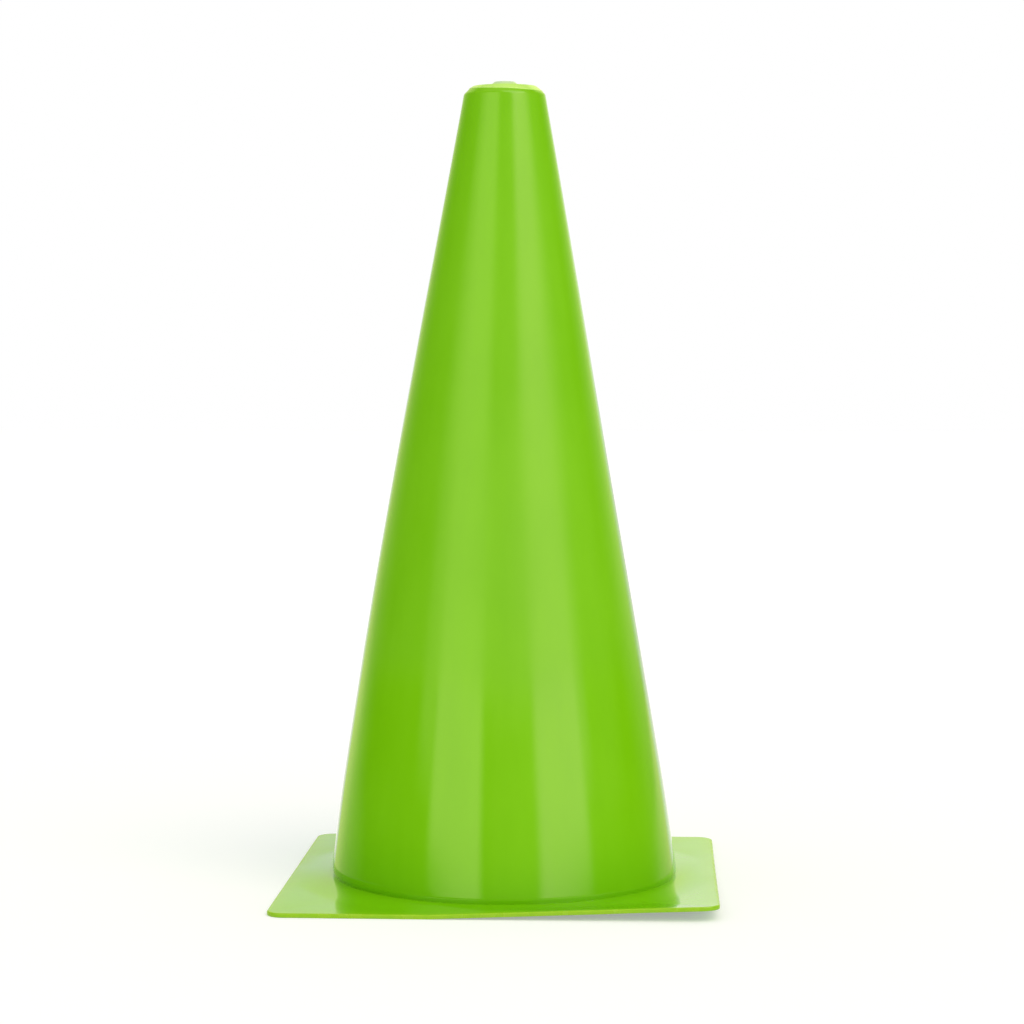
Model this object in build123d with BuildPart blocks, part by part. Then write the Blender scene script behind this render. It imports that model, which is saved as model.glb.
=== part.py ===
from build123d import *
from math import atan, cos, tan
import os

# A sports marker cone: a hollow tapered body on a thin square base plate, closed at the top by a small cap.
# Millimetres, +Z up, with the origin on the ground under the middle of the cone.

# Cone body
body_height = 230.0
foot_diameter = 103.0
crown_diameter = 23.2
wall = 1.4
shoulder_drop = 1.5
shoulder_blend = 1.5
shoulder_bend = 1.6
crown_land = 2.2

# Base plate, and the collar on it that goes up inside the foot of the body
plate_ledge = 11.0
plate_thickness = 1.2
plate_corner_radius = 5.0
plate_edge_radius = 0.4
collar_height = 8.0
collar_wall = 1.2
collar_lead_in = 0.4
collar_clearance = 0.15

# Cap: a rim that lies on the crown and carries on the shoulder's slope, and a skirt that goes down inside
cap_rim_thickness = 0.85
cap_rim_edge = 0.2
cap_rim_slope = 1.1
cap_skirt_depth = 5.0
cap_skirt_wall = 1.2
cap_lead_in = 0.4
cap_clearance = 0.1
nub_base_diameter = 9.0
nub_top_diameter = 5.8
nub_height = 1.35

# Levels above the ground
foot_level = plate_thickness
crown_level = foot_level + body_height
shoulder_level = crown_level - shoulder_drop
collar_level = foot_level + collar_height
rim_level = crown_level + cap_rim_thickness
nub_level = rim_level + nub_height
skirt_level = crown_level - cap_skirt_depth

# The taper, measured from the upright, and the radii that follow from it
foot_radius = foot_diameter / 2
crown_radius = crown_diameter / 2
taper = atan((foot_radius - crown_radius) / body_height)


def radius_inside(depth, level):
    """Radius of the taper at a level, that deep inside the body's outer face, measured square to it."""
    return foot_radius - (level - foot_level) * tan(taper) - depth / cos(taper)


def corner_at(sketch, radius, level):
    """The corner of a profile that lies at that radius and level."""
    return sketch.vertices().sort_by_distance((radius, level))[0]


def core_profile(depth):
    """Half section of all that lies that deep inside the body's outer face, up to the collar's top."""
    with BuildSketch(Plane.XZ) as core:
        with BuildLine():
            Polyline(
                (0, 0),
                (radius_inside(depth, 0), 0),
                (radius_inside(depth, collar_level), collar_level),
                (0, collar_level),
                close=True,
            )
        make_face()
    return core.sketch


# The shoulder slopes in as far as it rises, and the crown's flat land starts where it ends
shoulder_radius = radius_inside(0, shoulder_level)
land_radius = shoulder_radius - shoulder_drop
opening_radius = land_radius - crown_land
skirt_radius = opening_radius - cap_clearance

os.makedirs("parts", exist_ok=True)

# Cone body: one wall thickness from the foot over the sloping shoulder to the opening in the crown
crown_underside = crown_level - wall
bend_radius = radius_inside(wall, crown_underside)

with BuildPart() as cone_body:
    with BuildSketch(Plane.XZ) as body_profile:
        with BuildLine():
            Polyline(
                (foot_radius, foot_level),
                (shoulder_radius, shoulder_level),
                (land_radius, crown_level),
                (opening_radius, crown_level),
                (opening_radius, crown_underside),
                (bend_radius, crown_underside),
                (radius_inside(wall, foot_level), foot_level),
                close=True,
            )
        make_face()
        fillet(corner_at(body_profile, shoulder_radius, shoulder_level), shoulder_blend)
        fillet(corner_at(body_profile, bend_radius, crown_underside), shoulder_bend)
    revolve(axis=Axis.Z)

cone_body.part.label = "cone_body"
export_step(cone_body.part, "parts/cone_body.step")

# Base plate: a rounded square with a soft upper edge, a tapered collar and the opening inside it
plate_side = foot_diameter + 2 * plate_ledge
collar_face = wall + collar_clearance
collar_bore = collar_face + collar_wall

with BuildPart() as base_plate:
    with BuildSketch():
        RectangleRounded(plate_side, plate_side, plate_corner_radius)
    extrude(amount=plate_thickness)
    fillet(base_plate.faces().sort_by(Axis.Z)[-1].edges(), plate_edge_radius)
    revolve(core_profile(collar_face), axis=Axis.Z)
    chamfer(base_plate.faces().sort_by(Axis.Z)[-1].edges(), collar_lead_in)
    revolve(core_profile(collar_bore), axis=Axis.Z, mode=Mode.SUBTRACT)

base_plate.part.label = "base_plate"
export_step(base_plate.part, "parts/base_plate.step")

# Cap: a thin disc with a tapered nub on top and an open skirt below
with BuildPart() as top_cap:
    with BuildSketch(Plane.XZ) as cap_profile:
        with BuildLine():
            Polyline(
                (0, nub_level),
                (nub_top_diameter / 2, nub_level),
                (nub_base_diameter / 2, rim_level),
                (land_radius - cap_rim_slope, rim_level),
                (land_radius, crown_level + cap_rim_edge),
                (land_radius, crown_level),
                (skirt_radius, crown_level),
                (skirt_radius, skirt_level),
                (skirt_radius - cap_skirt_wall, skirt_level),
                (skirt_radius - cap_skirt_wall, crown_level),
                (0, crown_level),
                close=True,
            )
        make_face()
        chamfer(corner_at(cap_profile, skirt_radius, skirt_level), cap_lead_in)
    revolve(axis=Axis.Z)

top_cap.part.label = "top_cap"
export_step(top_cap.part, "parts/top_cap.step")
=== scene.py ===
from math import atan, cos, hypot, pi, radians, sin, tan

import bmesh
import bpy
from mathutils import Matrix, Vector, noise


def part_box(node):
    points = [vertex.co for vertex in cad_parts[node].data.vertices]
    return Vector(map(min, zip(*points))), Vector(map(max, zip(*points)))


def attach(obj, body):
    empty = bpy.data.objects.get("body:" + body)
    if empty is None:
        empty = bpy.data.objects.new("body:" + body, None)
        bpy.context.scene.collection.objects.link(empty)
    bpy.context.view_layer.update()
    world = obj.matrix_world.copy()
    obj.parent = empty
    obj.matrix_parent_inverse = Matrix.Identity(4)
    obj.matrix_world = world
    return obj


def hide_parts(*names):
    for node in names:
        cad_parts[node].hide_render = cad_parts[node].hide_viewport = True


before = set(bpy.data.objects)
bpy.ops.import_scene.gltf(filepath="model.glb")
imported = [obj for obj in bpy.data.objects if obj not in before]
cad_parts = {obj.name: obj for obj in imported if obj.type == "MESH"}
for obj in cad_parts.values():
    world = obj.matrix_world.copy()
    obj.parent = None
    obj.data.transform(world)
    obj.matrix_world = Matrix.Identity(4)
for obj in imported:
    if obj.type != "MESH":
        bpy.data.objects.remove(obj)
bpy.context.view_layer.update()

# A green sports marker cone: tapered body, square base plate and small cap, in metres in the CAD frame.
plate_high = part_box("base_plate")[1]
body_low, body_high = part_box("cone_body")
cap_low, cap_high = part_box("top_cap")

# Cone body
foot_level = body_low.z
crown_level = body_high.z
foot_radius = body_high.x
crown_radius = 0.0116
wall = 0.0014
shoulder_drop = 0.0015
shoulder_blend = 0.0015
shoulder_bend = 0.0016
shoulder_steps = 8
foot_turn = 0.0012
foot_turn_depth = 0.0004
foot_turn_blend = 0.002
foot_turn_steps = 5
foot_rows = 5
foot_row_step = 0.0005
crown_land = 0.0022
wall_step = 0.0025
body_sectors = 192

# Base plate with its collar
plate_half = plate_high.x
collar_level = plate_high.z
plate_corner_radius = 0.005
plate_edge_radius = 0.0004
plate_edge_steps = 6
plate_under_radius = plate_edge_radius / 3
plate_under_steps = 3
plate_rim = 0.001
plate_inset = plate_corner_radius * 0.9
collar_wall = 0.0012
collar_lead_in = 0.0004
collar_clearance = 0.00015
side_steps = 40
corner_steps = 12
ledge_steps = 12

# Cap
land_radius = cap_high.x
skirt_level = cap_low.z
nub_level = cap_high.z
cap_rim_thickness = 0.00085
cap_rim_edge = 0.0002
cap_rim_slope = 0.0011
cap_rounding = 0.00015
cap_rounding_steps = 4
cap_skirt_wall = 0.0012
cap_lead_in = 0.0004
cap_clearance = 0.0001
nub_base_radius = 0.0045
nub_top_radius = 0.0029
nub_rounding = 0.0004
nub_top_steps = 6
nub_base_steps = 4
cap_sectors = 96

# How this cone departs from the drawing: its wall bows and swells, its foot is drawn in, most on the left,
# its crown is cut slantwise, and its plate is drawn up to the foot, ripples and curls up at one corner
bow_low = -0.00066
bow_top = 0.00021
bow_rise = 1.5
bow_fall = 2
wall_swell = 0.0007
swell_lowness = 0.75
foot_tuck = 0.00035
foot_tuck_reach = 0.03
foot_pinch = 0.0004
foot_pinch_reach = 0.0032
foot_pinch_sides = (0.3, 0.8)
wall_ripple = 0.00005
ripple_size = 0.035
ripple_fade = 0.012
crown_slant = 0.0009
seat_rise = 0.0007
seat_steepness = 1.3
plate_ripple = 0.00006
plate_ripple_size = 0.016
corner_lift = 0.0032
corner_lift_start = -0.017

taper = atan((foot_radius - crown_radius) / (crown_level - foot_level))
shoulder_level = crown_level - shoulder_drop
opening_radius = land_radius - crown_land
seat_level = foot_level + seat_rise


# Shapes: points nearer than the weld distance are one, and edges past the sharp angle stay sharp
weld_distance = 1e-7
sharp_angle = radians(35)


def radius_inside(depth, level):
    """Radius of the taper at a level, that deep inside the body's outer face, measured square to it."""
    return foot_radius - (level - foot_level) * tan(taper) - depth / cos(taper)


def smooth_share(value, start, end):
    """0 before start, 1 after end, and a smooth rise between them."""
    share = min(max((value - start) / (end - start), 0), 1)
    return share * share * (3 - 2 * share)


def rounded(corners):
    """Points along a half section.

    A corner is (radius, level), or (radius, level, rounding, steps) for an arc.
    """
    places = [Vector(corner[:2]) for corner in corners]
    points = []
    for i, corner in enumerate(corners):
        here = places[i]
        if len(corner) == 2:
            points.append(here)
            continue
        rounding, steps = corner[2:]
        backward = (places[i - 1] - here).normalized()
        forward = (places[(i + 1) % len(places)] - here).normalized()
        half_angle = backward.angle(forward) / 2
        centre = here + (backward + forward).normalized() * rounding / sin(half_angle)
        start = here + backward * rounding / tan(half_angle) - centre
        end = here + forward * rounding / tan(half_angle) - centre
        for step in range(steps + 1):
            points.append(centre + start.lerp(end, step / steps).normalized() * rounding)
    return points


def run(start, end, steps):
    """Points in even steps from start up to, but not including, end."""
    return [start.lerp(end, step / steps) for step in range(steps)]


def divided(points, longest):
    """The same points, with more between those that lie further apart than longest."""
    out = []
    for start, end in zip(points, points[1:] + points[:1]):
        out += run(start, end, max(1, round((end - start).length / longest)))
    return out


def skin(name, sections, closed=True):
    """A mesh object through sections of points that follow each other round the axis."""
    rows, count = len(sections), len(sections[0])
    mesh = bpy.data.meshes.new(name)
    faces = []
    for row in range(rows):
        following = (row + 1) % rows
        for i in range(count if closed else count - 1):
            j = (i + 1) % count
            faces.append((row * count + i, row * count + j, following * count + j, following * count + i))
    mesh.from_pydata([point for section in sections for point in section], [], faces)
    shape = bmesh.new()
    shape.from_mesh(mesh)
    bmesh.ops.remove_doubles(shape, verts=shape.verts, dist=weld_distance)
    bmesh.ops.recalc_face_normals(shape, faces=shape.faces)
    shape.to_mesh(mesh)
    shape.free()
    mesh.shade_smooth()
    mesh.set_sharp_from_angle(angle=sharp_angle)
    piece = bpy.data.objects.new(name, mesh)
    bpy.context.scene.collection.objects.link(piece)
    return piece


def lathe(name, profile, sectors, closed=True):
    """A body of revolution about Z from a half section of (radius, level) points."""
    sections = []
    for sector in range(sectors):
        angle = 2 * pi * sector / sectors
        sections.append([(r * cos(angle), r * sin(angle), z) for r, z in profile])
    return skin(name, sections, closed)


def bend(piece, place):
    """Moves each vertex of a piece to where place says."""
    for vertex in piece.data.vertices:
        vertex.co = place(vertex.co)


def height_share(level):
    """0 at the body's foot and below, 1 at its crown."""
    return max((level - foot_level) / (crown_level - foot_level), 0)


def belly(share):
    """A hump over the height of the body: nothing at its foot and crown, and the most below the middle."""
    return share ** bow_rise * (1 - share) ** bow_fall


def bow(level):
    """How far the axis lies to the side at a level: to the left low down, to the right at the top."""
    share = height_share(level)
    most = belly(bow_rise / (bow_rise + bow_fall))
    return bow_low * belly(share) / most + bow_top * share ** 2


def slant(x):
    """How far the crown's cut lies above the drawing at x: level on the left, below it on the right."""
    return -crown_slant * (x + crown_radius) / (2 * crown_radius)


def foot_in(point):
    """How far the body's foot is drawn in at a point: all round, and more in a low strip on the left."""
    tuck = foot_tuck * (1 - smooth_share(point.z, foot_level, foot_level + foot_tuck_reach))
    leftward = smooth_share(-point.x / hypot(point.x, point.y), *foot_pinch_sides)
    pinch = foot_pinch * leftward * (1 - smooth_share(point.z, seat_level, seat_level + foot_pinch_reach))
    return tuck + pinch


def body_place(point):
    """Where a point of the drawn body lies on this one."""
    radius = hypot(point.x, point.y)
    settled = smooth_share(point.z, foot_level, foot_level + ripple_fade)
    settled *= 1 - smooth_share(point.z, crown_level - ripple_fade, crown_level)
    ripple = wall_ripple * noise.noise(point / ripple_size) * settled
    swell = wall_swell * sin(pi * min(height_share(point.z), 1) ** swell_lowness)
    grow = 1 + (ripple + swell - foot_in(point)) / radius
    cut = slant(point.x) * smooth_share(point.z, shoulder_level, crown_level)
    grow -= cut / radius
    return Vector((point.x * grow + bow(point.z), point.y * grow, point.z + cut))


def make_body():
    """The hollow tapered wall, with a sloping shoulder round the opening in its crown."""
    underside = crown_level - wall
    turn_level = seat_level + foot_turn
    lowest = [turn_level + foot_row_step * (row + 1) for row in range(foot_rows)]
    profile = rounded([
        (radius_inside(foot_turn_depth, seat_level), seat_level),
        (radius_inside(0, turn_level), turn_level, foot_turn_blend, foot_turn_steps),
        *[(radius_inside(0, level), level) for level in lowest],
        (radius_inside(0, shoulder_level), shoulder_level, shoulder_blend, shoulder_steps),
        (land_radius, crown_level),
        (opening_radius, crown_level),
        (opening_radius, underside),
        (radius_inside(wall, underside), underside, shoulder_bend, shoulder_steps),
        (radius_inside(wall, seat_level), seat_level),
    ])
    piece = lathe("body_wall", divided(profile, wall_step), body_sectors)
    bend(piece, body_place)
    return piece


def plate_outline():
    """Points round the plate, each with the direction that the edge faces there."""
    straight = plate_half - plate_corner_radius
    quarter = []
    for step in range(side_steps + 1):
        quarter.append((Vector((plate_half, straight * (2 * step / side_steps - 1))), Vector((1, 0))))
    for step in range(1, corner_steps):
        angle = pi / 2 * step / corner_steps
        facing = Vector((cos(angle), sin(angle)))
        quarter.append((Vector((straight, straight)) + facing * plate_corner_radius, facing))
    outline = []
    for turn in range(4):
        quarter_turn = Matrix.Rotation(pi / 2 * turn, 2)
        outline += [(quarter_turn @ point, quarter_turn @ facing) for point, facing in quarter]
    return outline


def plate_place(point):
    """Where a point of the drawn plate lies on this one."""
    radius = hypot(point.x, point.y)
    reach = plate_half * radius / max(abs(point.x), abs(point.y))
    out = smooth_share(radius, foot_radius, reach)
    near = min(max((plate_half - radius) / (plate_half - foot_radius), 0), 1)
    rise = seat_rise * near ** seat_steepness * (1 - smooth_share(point.z, foot_level, collar_level))
    flat = Vector((point.x, point.y, 0))
    rise += plate_ripple * (1 + noise.noise(flat / plate_ripple_size)) * out
    rightward = max(point.x - corner_lift_start, 0) / (plate_half - corner_lift_start)
    frontward = (plate_half - point.y) / (2 * plate_half)
    rise += corner_lift * out * rightward * frontward ** 2
    grow = 1 - foot_in(point) / radius if radius < radius_inside(wall, foot_level) else 1
    return Vector((point.x * grow + bow(point.z), point.y * grow, point.z + rise))


def make_plate():
    """The thin square plate, soft along its upper edge, with the collar that holds the body's foot."""
    face = wall + collar_clearance
    bore = face + collar_wall
    edge = rounded([
        (plate_inset, 0),
        (plate_rim, 0),
        (0, 0, plate_under_radius, plate_under_steps),
        (0, foot_level, plate_edge_radius, plate_edge_steps),
        (plate_rim, foot_level),
        (plate_inset, foot_level),
    ])
    collar = [
        (radius_inside(face, foot_level), foot_level),
        (radius_inside(face, collar_level - collar_lead_in), collar_level - collar_lead_in),
        (radius_inside(face + collar_lead_in, collar_level), collar_level),
        (radius_inside(bore, collar_level), collar_level),
        (radius_inside(bore, 0), 0),
    ]
    sections = []
    for point, facing in plate_outline():
        outward = point.normalized()
        outside = [Vector((*(point - facing * depth), level)) for depth, level in edge]
        inside = [Vector((*(outward * radius), level)) for radius, level in collar]
        crease = Vector((*(outward * foot_radius), foot_level))
        across = run(outside[-1], crease, ledge_steps)[1:]
        back = run(inside[-1], outside[0], ledge_steps)[1:]
        sections.append(outside + across + [crease] + inside + back)
    piece = skin("plate", sections)
    bend(piece, plate_place)
    return piece


def cap_place(point):
    """Where a point of the drawn cap lies: on the bowed axis, and filled down to the slanted crown."""
    rim_level = crown_level + cap_rim_thickness
    cut = slant(point.x) * (1 - smooth_share(point.z, crown_level + cap_rim_edge, rim_level))
    radius = hypot(point.x, point.y)
    grow = 1 - cut * smooth_share(radius, opening_radius, land_radius) / max(radius, opening_radius)
    return Vector((point.x * grow + bow(crown_level), point.y * grow, point.z + cut))


def make_cap():
    """A thin disc with a tapered nub on top, and an open skirt that goes down into the crown."""
    rim_level = crown_level + cap_rim_thickness
    skirt_radius = opening_radius - cap_clearance
    profile = rounded([
        (0, nub_level),
        (nub_top_radius, nub_level, nub_rounding, nub_top_steps),
        (nub_base_radius, rim_level, nub_rounding, nub_base_steps),
        (land_radius - cap_rim_slope, rim_level, cap_rounding, cap_rounding_steps),
        (land_radius, crown_level + cap_rim_edge, cap_rounding, cap_rounding_steps),
        (land_radius, crown_level),
        (skirt_radius, crown_level),
        (skirt_radius, skirt_level + cap_lead_in),
        (skirt_radius - cap_lead_in, skirt_level),
        (skirt_radius - cap_skirt_wall, skirt_level),
        (skirt_radius - cap_skirt_wall, crown_level),
        (0, crown_level),
    ])
    piece = lathe("cap", profile, cap_sectors, closed=False)
    bend(piece, cap_place)
    return piece


# Materials: levels in metres, scales in waves per metre, and for a range the values that it starts and
# ends at, then what they turn into
# Painted shade: the colour darkens towards the floor below the next level, by the share after it, over the
# body's foot and the whole plate
foot_shade_level = 0.02
foot_shade_share = 0.3
handled_level = 0.064
handled_blend = 0.007
cloud_scale = 28
cloud_share = 0.65
cloud_roughness = (0.3, 0.7, -0.015, 0.02)
flow_scale = 190
flow_stretch = 0.06
flow_share = 0.35
flow_roughness = (0.3, 0.7, -0.01, 0.01)
tint_range = (0.35, 0.65)
scuff_scale = 260
scuff_detail = 5
scuff_range = (0.35, 0.6, 0.7, 1.0)
wear_roughness = 0.2
peel_scale = 420
fine_scale = 2400
fine_share = 0.25
relief_detail = 2
relief_strength = 0.1
relief_depth = 0.00004
plastic_ior = 1.5
shoulder_rub = 0.25
# Painted light: the plate is lightened, less and less inward, for a way inside its edge
plate_painted_light_inside = 0.4


def add(tree, kind, inputs=None, **settings):
    """A node with these settings; an input is a value, or the output of another node to link."""
    made = tree.nodes.new("ShaderNode" + kind)
    for name, value in settings.items():
        setattr(made, name, value)
    for name, value in (inputs or {}).items():
        if isinstance(value, bpy.types.NodeSocket):
            tree.links.new(value, made.inputs[name])
        else:
            made.inputs[name].default_value = value
    return made


def number(tree, operation, first, second=0.0):
    """The result of a Math node."""
    return add(tree, "Math", {0: first, 1: second}, operation=operation).outputs[0]


def ramp(tree, value, start, end, low=0.0, high=1.0):
    """A smooth rise from low to high as value goes from start to end."""
    inputs = {"Value": value, "From Min": start, "From Max": end, "To Min": low, "To Max": high}
    return add(tree, "MapRange", inputs, interpolation_type="SMOOTHSTEP").outputs[0]


def blend(tree, share, first, second):
    """A colour between two others."""
    return add(tree, "Mix", {0: share, 6: first, 7: second}, data_type="RGBA").outputs[2]


def grain(tree, place, scale, detail=3.0):
    """Noise from 0 to 1 at a scale in waves per metre."""
    return add(tree, "TexNoise", {"Vector": place, "Scale": scale, "Detail": detail}).outputs["Fac"]


def plastic(name, colour, deep, foot_shaded, worn_and_painted_light_colour, gloss, satin):
    """Moulded polyethylene: cloudy colour, upright flow lines, orange peel, painted shade that darkens it
    low down, and paler patches where a piece is marked for them: rubbing at edges, and painted light on
    the plate a way inside its edge.

    It is glossy in the lowest quarter of the cone, as moulded, and satin above, where it is handled.
    """
    material = bpy.data.materials.new(name)
    material.use_nodes = True
    tree = material.node_tree
    shader = tree.nodes["Principled BSDF"]
    place = add(tree, "TexCoord").outputs["Object"]
    drawn = add(tree, "Mapping", {"Vector": place, "Scale": (1, 1, flow_stretch)}).outputs["Vector"]
    clouds = grain(tree, place, cloud_scale)
    flow = grain(tree, drawn, flow_scale)
    peel = grain(tree, place, peel_scale, relief_detail)
    fine = grain(tree, place, fine_scale, relief_detail)
    scuff = grain(tree, place, scuff_scale, scuff_detail)

    cloudy = number(tree, "MULTIPLY", clouds, cloud_share)
    streaky = number(tree, "MULTIPLY", flow, flow_share)
    tint = number(tree, "ADD", cloudy, streaky)
    clean = blend(tree, ramp(tree, tint, *tint_range), deep, colour)
    level = add(tree, "SeparateXYZ", {"Vector": place}).outputs["Z"]
    # Painted shade: darker towards the floor
    foot_shade = ramp(tree, level, 0.0, foot_shade_level, 1.0, 0.0)
    foot_shaded_colour = blend(tree, number(tree, "MULTIPLY", foot_shade, foot_shade_share), clean, foot_shaded)
    # Marks lighten the colour: rubbing at edges, painted light a way inside the plate's edge, and a paler
    # nub on the cap
    rubbed_and_painted_light = add(tree, "Attribute", attribute_name="rubbed_and_painted_light").outputs["Fac"]
    wear_and_painted_light_mask = number(tree, "MULTIPLY", rubbed_and_painted_light, ramp(tree, scuff, *scuff_range))
    tree.links.new(blend(tree, wear_and_painted_light_mask, foot_shaded_colour, worn_and_painted_light_colour), shader.inputs["Base Color"])

    patchy = number(tree, "ADD", ramp(tree, clouds, *cloud_roughness), ramp(tree, flow, *flow_roughness))
    dull = number(tree, "ADD", patchy, number(tree, "MULTIPLY", wear_and_painted_light_mask, wear_roughness))
    handled_range = (handled_level - handled_blend, handled_level + handled_blend)
    handled = ramp(tree, level, *handled_range, gloss, satin)
    tree.links.new(number(tree, "ADD", dull, handled), shader.inputs["Roughness"])

    height = number(tree, "ADD", peel, number(tree, "MULTIPLY", fine, fine_share))
    relief = add(tree, "Bump", {"Height": height, "Strength": relief_strength, "Distance": relief_depth})
    tree.links.new(relief.outputs["Normal"], shader.inputs["Normal"])
    shader.inputs["IOR"].default_value = plastic_ior
    return material


def mark_rub_and_painted_light(piece, amount):
    """Marks at each vertex how much a piece is paled, by rubbing and, on the plate, painted light, for its
    material.
    """
    marks = piece.data.attributes.new("rubbed_and_painted_light", "FLOAT", "POINT")
    marks.data.foreach_set("value", [amount(vertex.co) for vertex in piece.data.vertices])


def body_rub(point):
    """The body shows a little rubbing at its shoulder."""
    return shoulder_rub * smooth_share(point.z, shoulder_level - shoulder_blend, crown_level)


def cap_nub_paling(point):
    """The cap's nub is marked all over, to turn paler and greyer in patches."""
    rim_level = crown_level + cap_rim_thickness
    return smooth_share(point.z, rim_level, rim_level + nub_rounding)


def plate_rub_and_painted_light(point):
    """The plate shows rubbing all round its edge, and painted light that lightens it less and less for a
    way inside it.
    """
    straight = plate_half - plate_corner_radius
    beyond = hypot(max(abs(point.x) - straight, 0), max(abs(point.y) - straight, 0))
    edge = smooth_share(beyond, plate_corner_radius - plate_rim, plate_corner_radius - plate_edge_radius)
    return edge + plate_painted_light_inside * (1 - edge) * beyond / plate_corner_radius


green = plastic(
    "green polyethylene",
    colour=(0.21, 0.578, 0.004, 1),
    deep=(0.195, 0.553, 0.003, 1),
    # painted shade: the colour it darkens to near the floor
    foot_shaded=(0.16, 0.5, 0.003, 1),
    # the paler colour for rubbing, and for the painted light inside the plate's edge
    worn_and_painted_light_colour=(0.33, 0.6, 0.012, 1),
    gloss=0.08,
    satin=0.17,
)
lime = plastic(
    "lime polyethylene",
    colour=(0.62, 0.92, 0.21, 1),
    deep=(0.56, 0.88, 0.17, 1),
    # painted shade: the colour it darkens to near the floor
    foot_shaded=(0.5, 0.8, 0.16, 1),
    # the paler, greyer colour that the cap's nub turns to in patches
    worn_and_painted_light_colour=(0.6, 0.76, 0.47, 1),
    gloss=0.16,
    satin=0.2,
)

for piece, node, slot, material, amount in (
    (make_body(), "cone_body", "green_plastic", green, body_rub),
    (make_plate(), "base_plate", "green_plastic", green, plate_rub_and_painted_light),
    (make_cap(), "top_cap", "lime_plastic", lime, cap_nub_paling),
):
    piece.data.materials.append(material)
    mark_rub_and_painted_light(piece, amount)
    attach(piece, "root")
    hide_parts(node)

# Camera: a long lens from a little above the middle of the cone, turned a few degrees to the plate
view_turn = radians(2.99)
camera_distance = 0.82
camera_aside = 0.00235
camera_height = 0.159
camera_pitch = radians(3.552)
camera_lens = 98.4

turned = Matrix.Rotation(view_turn, 3, "Z")
camera = bpy.data.objects.new("camera", bpy.data.cameras.new("camera"))
camera.data.lens = camera_lens
camera.location = turned @ Vector((camera_aside, -camera_distance, camera_height))
camera.rotation_euler = (pi / 2 - camera_pitch, 0, view_turn)
bpy.context.scene.collection.objects.link(camera)
bpy.context.scene.camera = camera

# Floor
floor_half = 4.0
floor_colour = (0.93, 0.93, 0.93, 1)
shown_colour = (0.7, 0.7, 0.7, 1)
shown_lift = 0.34
paper_roughness = 0.9
white = (1, 1, 1, 1)

floor_mesh = bpy.data.meshes.new("floor")
floor_signs = ((-1, -1), (1, -1), (1, 1), (-1, 1))
floor_corners = [(x * floor_half, y * floor_half, 0) for x, y in floor_signs]
floor_mesh.from_pydata(floor_corners, [], [(0, 1, 2, 3)])
floor = bpy.data.objects.new("floor", floor_mesh)
bpy.context.scene.collection.objects.link(floor)
paper = bpy.data.materials.new("white paper")
paper.use_nodes = True
paper_shader = paper.node_tree.nodes["Principled BSDF"]
paper_shader.inputs["Roughness"].default_value = paper_roughness
paper_shader.inputs["Emission Color"].default_value = white
paper_path = add(paper.node_tree, "LightPath").outputs
paper_colour = blend(paper.node_tree, paper_path["Is Camera Ray"], floor_colour, shown_colour)
paper.node_tree.links.new(paper_colour, paper_shader.inputs["Base Color"])
lift = number(paper.node_tree, "MULTIPLY", paper_path["Is Camera Ray"], shown_lift)
paper.node_tree.links.new(lift, paper_shader.inputs["Emission Strength"])
through = add(paper.node_tree, "BsdfTransparent").outputs[0]
paper_mix = add(
    paper.node_tree, "MixShader", {0: paper_path["Is Glossy Ray"], 1: paper_shader.outputs[0], 2: through}
)
paper.node_tree.links.new(paper_mix.outputs[0], paper.node_tree.nodes["Material Output"].inputs["Surface"])
floor_mesh.materials.append(paper)

# Studio: an even room, with tinted panels that only reflections see and a white background for the camera
room_colour = (0.72, 0.77, 0.76, 1)
sun_strength = 1.2
sun_colour = (1, 0.84, 0.72)
sun_azimuth = radians(38)
sun_elevation = radians(52)
sun_softness = radians(50)

world = bpy.data.worlds.new("studio")
bpy.context.scene.world = world
world.use_nodes = True
tree = world.node_tree
facing = add(tree, "TexCoord").outputs["Generated"]
level_turn = add(tree, "VectorRotate", {"Vector": facing, "Angle": -view_turn}, rotation_type="Z_AXIS")
parts = add(tree, "SeparateXYZ", {"Vector": level_turn.outputs["Vector"]}).outputs
azimuth = number(tree, "ARCTAN2", parts["X"], number(tree, "MULTIPLY", parts["Y"], -1.0))
elevation = number(tree, "ARCSINE", parts["Z"])


def within(value, low, high, softness):
    """1 where value lies between two angles in degrees, with edges that soften over some degrees."""
    half = softness / 2
    rise = ramp(tree, value, radians(low - half), radians(low + half))
    fall = ramp(tree, value, radians(high - half), radians(high + half), 1.0, 0.0)
    return number(tree, "MULTIPLY", rise, fall)


def panel(strength, sides, side_softness, ends, end_softness):
    """A bright panel between two azimuths and two elevations, with soft sides and ends, all in degrees.

    Azimuth is 0 towards the camera and positive to its right.
    """
    across = within(azimuth, *sides, side_softness)
    upright = within(elevation, *ends, end_softness)
    return number(tree, "MULTIPLY", number(tree, "MULTIPLY", across, upright), strength)


def lit(colour, panels):
    """The colour that some panels shine with together."""
    total = panels[0]
    for other in panels[1:]:
        total = number(tree, "ADD", total, other)
    return add(tree, "VectorMath", {0: colour, "Scale": total}, operation="SCALE").outputs[0]


# The two front panels are crisp low down, soft and weaker at half their height, and in between above
middle_start = 12.2
high_start = 18.5
low_band = (3.8, middle_start)
middle_band = (middle_start, high_start)
upper_middle_band = (15.5, high_start)
high_band = (high_start, 42)
band_softness = 2

# Angles past straight behind and past the pole, for a panel without an edge there
past_behind = 250
past_pole = 120

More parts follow.
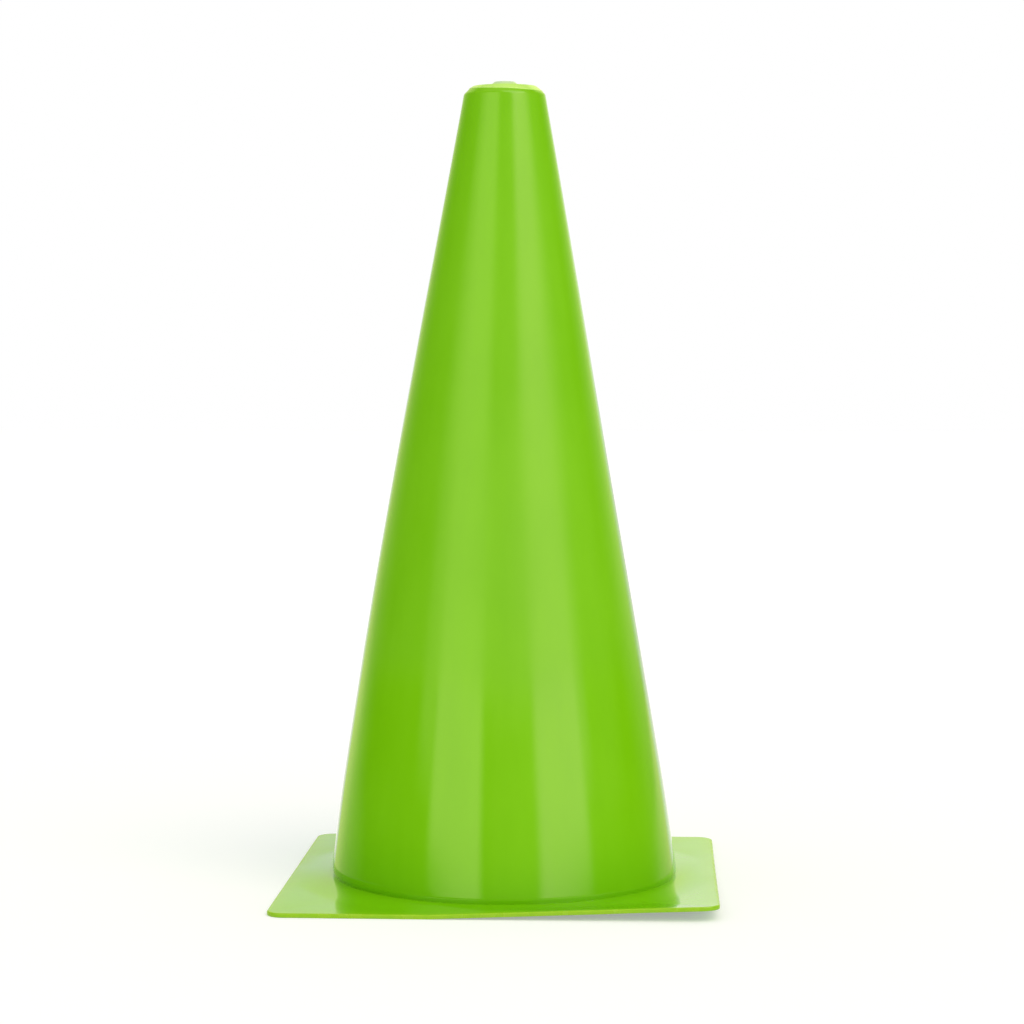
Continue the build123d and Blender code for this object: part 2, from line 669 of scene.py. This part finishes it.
left = lit((1.0, 0.91, 0.46), [
    panel(2.4, (-52, -15.5), 7, low_band, band_softness),
    panel(1.0, (-66, -52), 10, (7.2, middle_start), band_softness),
    panel(1.76, (-63, -14), 40, middle_band, band_softness),
    panel(0.24, (-54, -22), 30, upper_middle_band, band_softness),
    panel(2.05, (-54, -15.5), 16, high_band, band_softness),
    panel(1.1, (-68, -54), 16, high_band, band_softness),
])
right = lit((1.0, 0.66, 0.56), [
    panel(2.45, (24.5, 61), 8, low_band, band_softness),
    panel(1.1, (61, 68), 10, (7, middle_start), band_softness),
    panel(1.85, (19, 68), 45, middle_band, band_softness),
    panel(0.3, (30, 61), 30, upper_middle_band, band_softness),
    panel(0.6, (-12, 18), 30, middle_band, band_softness),
    panel(2.5, (22.5, 61), 16, high_band, band_softness),
    panel(1.3, (61, 72), 16, high_band, band_softness),
    panel(0.42, (114, 163), 18, (-40, -3), 1.6),
    panel(0.22, (-15, 100), 30, (4, past_pole), 4),
    panel(0.5, (-past_behind, past_behind), 10, (60, past_pole), 30),
])
sides = lit((1.1, 1.13, 0.5), [
    panel(0.6, (136, past_behind), 62, (-40, 40), 10),
    panel(0.46, (136, past_behind), 62, (0, 40), 6),
    panel(0.9, (-past_behind, -140), 58, (-40, 40), 10),
    panel(0.28, (-153, -112), 20, (-40, -1.2), 4),
])
back = lit((1.0, 0.92, 0.92), [
    panel(0.96, (152, past_behind), 14, (-40, 11), 5),
    panel(0.96, (-past_behind, -158), 14, (-40, 11), 5),
    panel(0.6, (160, past_behind), 12, (11, 40), 5),
    panel(0.6, (-past_behind, -162), 12, (11, 40), 5),
    panel(0.5, (-past_behind, past_behind), 10, (-past_pole, -8), 10),
])
front = add(tree, "VectorMath", {0: left, 1: right}, operation="ADD").outputs[0]
around = add(tree, "VectorMath", {0: front, 1: sides}, operation="ADD").outputs[0]
glossy = add(tree, "VectorMath", {0: around, 1: back}, operation="MAXIMUM").outputs[0]
path = add(tree, "LightPath").outputs
mirrored = blend(tree, path["Is Glossy Ray"], room_colour, glossy)
clear = number(tree, "MAXIMUM", path["Is Camera Ray"], path["Is Transmission Ray"])
tree.links.new(blend(tree, clear, mirrored, white), tree.nodes["Background"].inputs["Color"])

sun = bpy.data.objects.new("sun", bpy.data.lights.new("sun", "SUN"))
sun.data.energy = sun_strength
sun.data.color = sun_colour
sun.data.angle = sun_softness
towards_sun = Vector((
    cos(sun_elevation) * sin(sun_azimuth),
    -cos(sun_elevation) * cos(sun_azimuth),
    sin(sun_elevation),
))
sun.rotation_euler = (turned @ towards_sun).to_track_quat("Z", "Y").to_euler()
bpy.context.scene.collection.objects.link(sun)

bpy.context.scene.view_settings.view_transform = "Standard"
